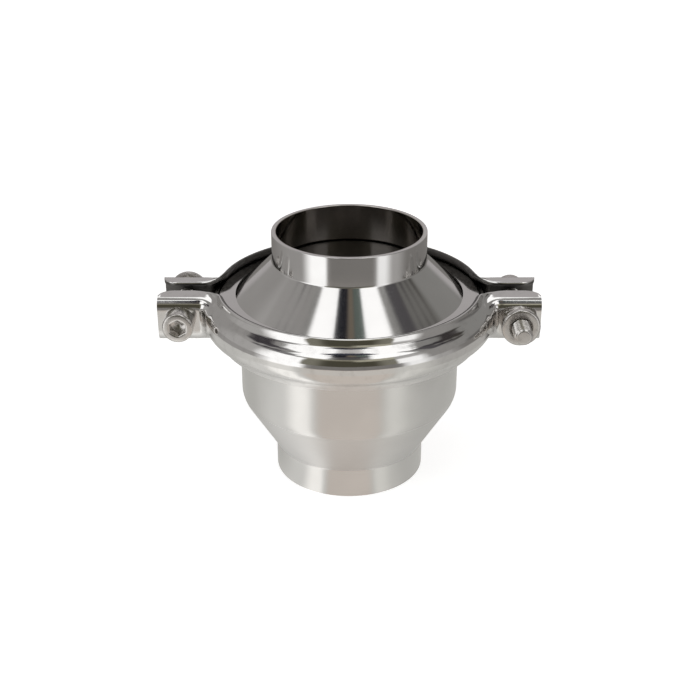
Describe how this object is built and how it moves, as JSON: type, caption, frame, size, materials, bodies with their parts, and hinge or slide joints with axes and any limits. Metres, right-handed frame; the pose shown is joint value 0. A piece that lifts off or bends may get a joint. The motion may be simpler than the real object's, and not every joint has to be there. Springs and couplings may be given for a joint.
{
  "type": "non-return valve",
  "caption": "Hygienic non-return valve with weld tube ends: two conical bodies held by a pressed bolted clamp, with a spring-loaded plug on a guided stem inside.",
  "frame": {"origin": "middle of the lower end face, on the flow axis", "axes": "+Z along the flow axis from the outlet up to the inlet, +X towards the right-hand clamp screw, -Y towards the viewer of the picture"},
  "size_m": [0.125, 0.0972, 0.086],
  "materials": {
    "turned_steel": "fine turned, satin to bright",
    "barrel_steel": "satin turned",
    "pressed_steel": "mirror polished sheet",
    "plug_steel": "dark satin, stained in use",
    "screw_steel": "polished, lightly marked",
    "spring_steel": "drawn wire",
    "seal_rubber": "matte black elastomer",
    "bush_plastic": "off-white bearing plastic"
  },
  "bodies": {
    "valve_body": {"inlet_body": "turned_steel", "outlet_body": "barrel_steel", "body_seal": "seal_rubber", "guide_spider": "barrel_steel", "guide_bush": "bush_plastic", "closing_spring": "spring_steel"},
    "plug": {"valve_plug": "plug_steel", "plug_seal": "seal_rubber", "plug_stem": "turned_steel"},
    "clamp_front": {"clamp_front_half": "pressed_steel", "right_nut": "screw_steel"},
    "clamp_rear": {"clamp_rear_half": "pressed_steel", "left_nut": "screw_steel"},
    "left_screw": {"left_bolt": "screw_steel"},
    "right_screw": {"right_bolt": "screw_steel"}
  },
  "joints": [
    {"name": "plug_slide", "type": "slide", "parent": "valve_body", "child": "plug", "axis": [0, 0, -1], "range_m": [0, 0.012], "stiffness_N_per_m": 500, "springref_m": -0.024, "deforming": ["closing_spring"]},
    {"name": "clamp_front_slide", "type": "slide", "parent": "valve_body", "child": "clamp_front", "axis": [0, -1, 0], "range_m": [0, 0.0015]},
    {"name": "clamp_rear_slide", "type": "slide", "parent": "valve_body", "child": "clamp_rear", "axis": [0, 1, 0], "range_m": [0, 0.0015]},
    {"name": "left_screw_turn", "type": "hinge", "parent": "clamp_front", "child": "left_screw", "pos_m": [-0.0554, 0, 0.0584], "axis": [0, -1, 0], "range_deg": [0, 1080]},
    {"name": "right_screw_turn", "type": "hinge", "parent": "clamp_rear", "child": "right_screw", "pos_m": [0.0554, 0, 0.0584], "axis": [0, 1, 0], "range_deg": [0, 1080]}
  ],
  "couplings": [
    {"joint": "clamp_rear_slide", "follows": "clamp_front_slide", "ratio": 1},
    {"joint": "left_screw_turn", "follows": "clamp_front_slide", "rad_per_m": 12566},
    {"joint": "right_screw_turn", "follows": "clamp_front_slide", "rad_per_m": 12566}
  ]
}
